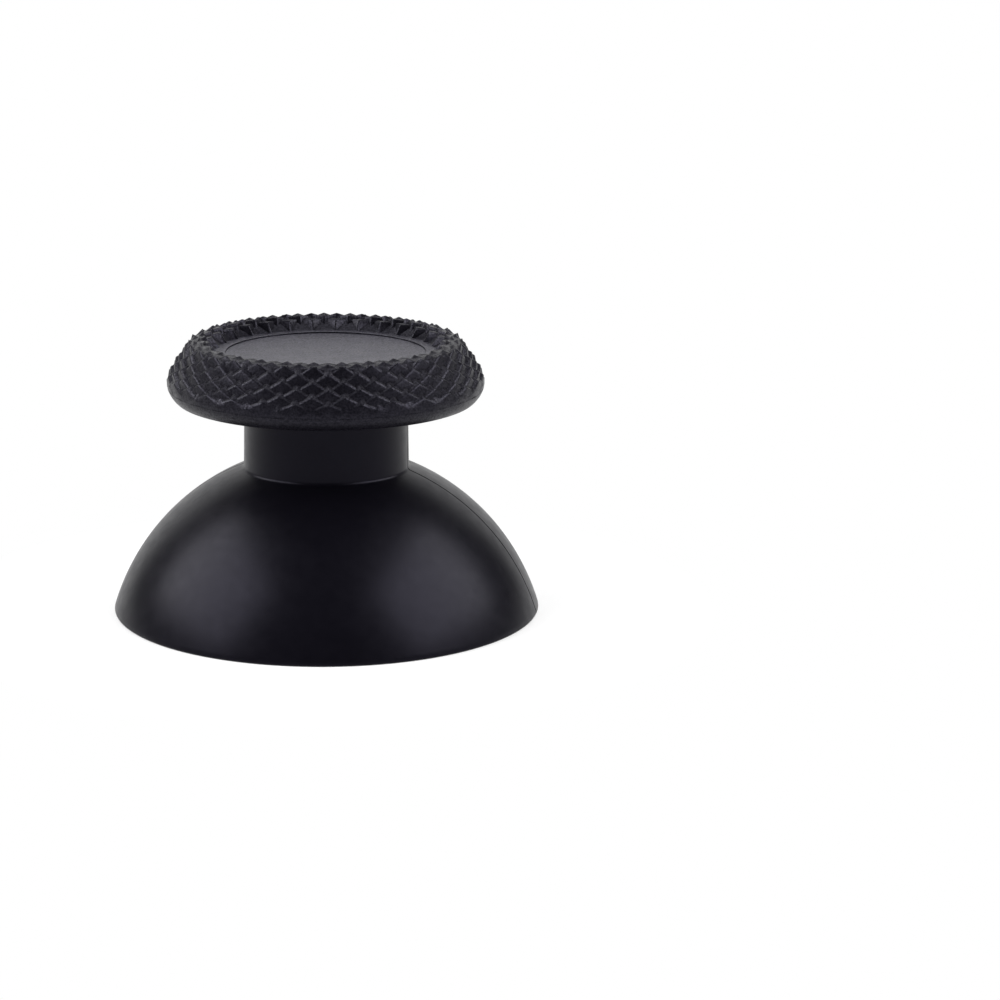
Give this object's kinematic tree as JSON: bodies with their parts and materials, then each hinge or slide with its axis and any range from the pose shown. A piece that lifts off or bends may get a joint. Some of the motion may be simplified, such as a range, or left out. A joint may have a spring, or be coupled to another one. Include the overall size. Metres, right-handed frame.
{
  "type": "thumbstick cap",
  "caption": "Thumbstick cap: a hollow ribbed dome with a flatted socket, a stem, and a round head with a knurled soft grip round a finger dish.",
  "frame": {"origin": "middle of the dome's rim, on the plane that the cap stands on", "axes": "+Z is the cap's axis, from the rim towards the finger dish; X lies in the mould's parting plane, along the flats of the socket"},
  "size_m": [0.024, 0.024, 0.0155],
  "materials": {
    "hard_body": "satin moulded black plastic, glossier inside the dome",
    "soft_grip": "matte black soft plastic, finely grained in the dish"
  },
  "bodies": {
    "root": {"stick_body": "hard_body", "grip_cap": "soft_grip"}
  },
  "joints": []
}
